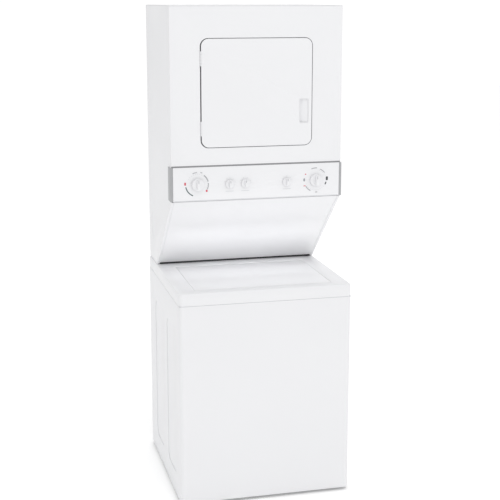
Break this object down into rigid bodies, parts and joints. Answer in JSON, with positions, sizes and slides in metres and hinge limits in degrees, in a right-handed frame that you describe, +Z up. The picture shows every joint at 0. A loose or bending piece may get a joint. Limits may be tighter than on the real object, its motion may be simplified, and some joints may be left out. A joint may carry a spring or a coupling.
{
  "type": "stacked washer dryer",
  "caption": "One-piece laundry centre: top-loading washer with a front-loading dryer above it, joined by a slanted panel and a control panel.",
  "frame": {"origin": "on the floor under the middle of the machine", "axes": "+Z up, front faces -Y, +X to the machine's right as seen from the front"},
  "size_m": [0.683, 0.694, 1.918],
  "materials": {
    "white_enamel": "smooth semi-gloss white enamel",
    "white_plastic": "satin white plastic",
    "grey_trim": "satin grey plastic",
    "galvanised": "spangled galvanised sheet",
    "aluminium": "cast",
    "steel": "satin",
    "enamel_tub": "gloss enamel",
    "grey_plastic": "matte grey plastic",
    "black_plastic": "matte black plastic",
    "rubber": "matte black rubber"
  },
  "bodies": {
    "cabinet": {"base_pan": "galvanised", "levelling_foot_front_left": "rubber", "levelling_foot_front_right": "rubber", "levelling_foot_rear_left": "rubber", "levelling_foot_rear_right": "rubber", "washer_cabinet": "white_enamel", "washer_back_panel": "galvanised", "inlet_valve": "white_plastic", "washer_top_cover": "white_enamel", "washer_tub": "grey_plastic", "suspension_rod_front_left": "steel", "suspension_rod_front_right": "steel", "suspension_rod_rear_left": "steel", "suspension_rod_rear_right": "steel", "washer_motor": "steel", "washer_belt": "rubber", "transmission": "aluminium", "drain_pump": "black_plastic", "dryer_side_left": "white_enamel", "dryer_side_right": "white_enamel", "service_panel": "white_enamel", "dryer_back_panel": "galvanised", "dryer_top_panel": "white_enamel", "dryer_front_panel": "white_enamel", "dryer_base": "galvanised", "front_bulkhead": "galvanised", "rear_bulkhead": "galvanised", "heater_box": "galvanised", "blower_housing": "black_plastic", "dryer_motor": "steel", "dryer_belt": "rubber", "exhaust_duct": "galvanised", "control_panel": "white_plastic", "end_cap_left": "grey_trim", "end_cap_right": "grey_trim"},
    "lid": {"washer_lid": "white_enamel", "lid_hinge_left": "steel", "lid_hinge_right": "steel"},
    "basket": {"wash_basket": "enamel_tub", "balance_ring": "grey_plastic", "washer_drive_pulley": "aluminium"},
    "agitator_body": {"agitator": "white_plastic", "agitator_cap": "grey_plastic"},
    "washer_rotor": {"washer_motor_pulley": "steel"},
    "drum": {"dryer_drum": "enamel_tub", "drum_shaft": "steel"},
    "dryer_rotor": {"dryer_motor_pulley": "steel", "blower_wheel": "black_plastic"},
    "idler": {"idler_pulley": "grey_plastic"},
    "door": {"dryer_door": "white_enamel", "door_liner": "white_plastic", "door_hinge_upper": "steel", "door_hinge_lower": "steel"},
    "filter": {"lint_filter": "grey_plastic"},
    "washer_timer_turn": {"washer_timer_shaft": "white_plastic"},
    "washer_timer_pull": {"washer_timer_knob": "white_plastic"},
    "dryer_timer": {"dryer_timer_knob": "white_plastic"},
    "water_level": {"water_level_knob": "white_plastic"},
    "wash_temperature": {"wash_temperature_knob": "white_plastic"},
    "dryer_start": {"dryer_start_knob": "white_plastic"}
  },
  "joints": [
    {"name": "door_hinge", "type": "hinge", "parent": "cabinet", "child": "door", "pos_m": [-0.2195, -0.1975, 1.5915], "axis": [0, 0, -1], "range_deg": [0, 160]},
    {"name": "lid_hinge", "type": "hinge", "parent": "cabinet", "child": "lid", "pos_m": [0, 0.088, 0.851], "axis": [-1, 0, 0], "range_deg": [0, 44]},
    {"name": "basket_spin", "type": "hinge", "parent": "cabinet", "child": "basket", "pos_m": [0, -0.055, 0.4], "axis": [0, 0, 1], "continuous": true},
    {"name": "agitator_swing", "type": "hinge", "parent": "basket", "child": "agitator_body", "pos_m": [0, -0.055, 0.4], "axis": [0, 0, 1], "range_deg": [-100, 100]},
    {"name": "washer_motor_spin", "type": "hinge", "parent": "cabinet", "child": "washer_rotor", "pos_m": [0.17, 0.075, 0.1], "axis": [0, 0, 1], "continuous": true},
    {"name": "drum_spin", "type": "hinge", "parent": "cabinet", "child": "drum", "pos_m": [0, 0.1, 1.6], "axis": [0, 1, 0], "continuous": true},
    {"name": "dryer_motor_spin", "type": "hinge", "parent": "cabinet", "child": "dryer_rotor", "pos_m": [0.13, 0, 1.257], "axis": [0, 1, 0], "continuous": true},
    {"name": "idler_spin", "type": "hinge", "parent": "cabinet", "child": "idler", "pos_m": [0.05901, 0.115, 1.24533], "axis": [0, 1, 0], "continuous": true},
    {"name": "lint_filter_slide", "type": "slide", "parent": "cabinet", "child": "filter", "axis": [0, 0, 1], "range_m": [0, 0.12]},
    {"name": "washer_timer_turn", "type": "hinge", "parent": "cabinet", "child": "washer_timer_turn", "pos_m": [-0.236, -0.2, 1.247], "axis": [0, -1, 0], "continuous": true},
    {"name": "washer_timer_pull", "type": "slide", "parent": "washer_timer_turn", "child": "washer_timer_pull", "axis": [0, -1, 0], "range_m": [0, 0.006]},
    {"name": "dryer_timer_turn", "type": "hinge", "parent": "cabinet", "child": "dryer_timer", "pos_m": [0.236, -0.2, 1.247], "axis": [0, -1, 0], "continuous": true},
    {"name": "water_level_turn", "type": "hinge", "parent": "cabinet", "child": "water_level", "pos_m": [-0.11, -0.2, 1.245], "axis": [0, -1, 0], "range_deg": [-120, 120]},
    {"name": "wash_temperature_turn", "type": "hinge", "parent": "cabinet", "child": "wash_temperature", "pos_m": [-0.048, -0.2, 1.245], "axis": [0, -1, 0], "range_deg": [-90, 90]},
    {"name": "dryer_start_turn", "type": "hinge", "parent": "cabinet", "child": "dryer_start", "pos_m": [0.118, -0.2, 1.245], "axis": [0, -1, 0], "range_deg": [-45, 0], "stiffness_Nm_per_rad": 0.1, "springref_deg": 5.73}
  ],
  "couplings": [
    {"joint": "washer_motor_spin", "follows": "basket_spin", "ratio": 6},
    {"joint": "dryer_motor_spin", "follows": "drum_spin", "ratio": 23.75},
    {"joint": "idler_spin", "follows": "drum_spin", "ratio": -14.25}
  ]
}
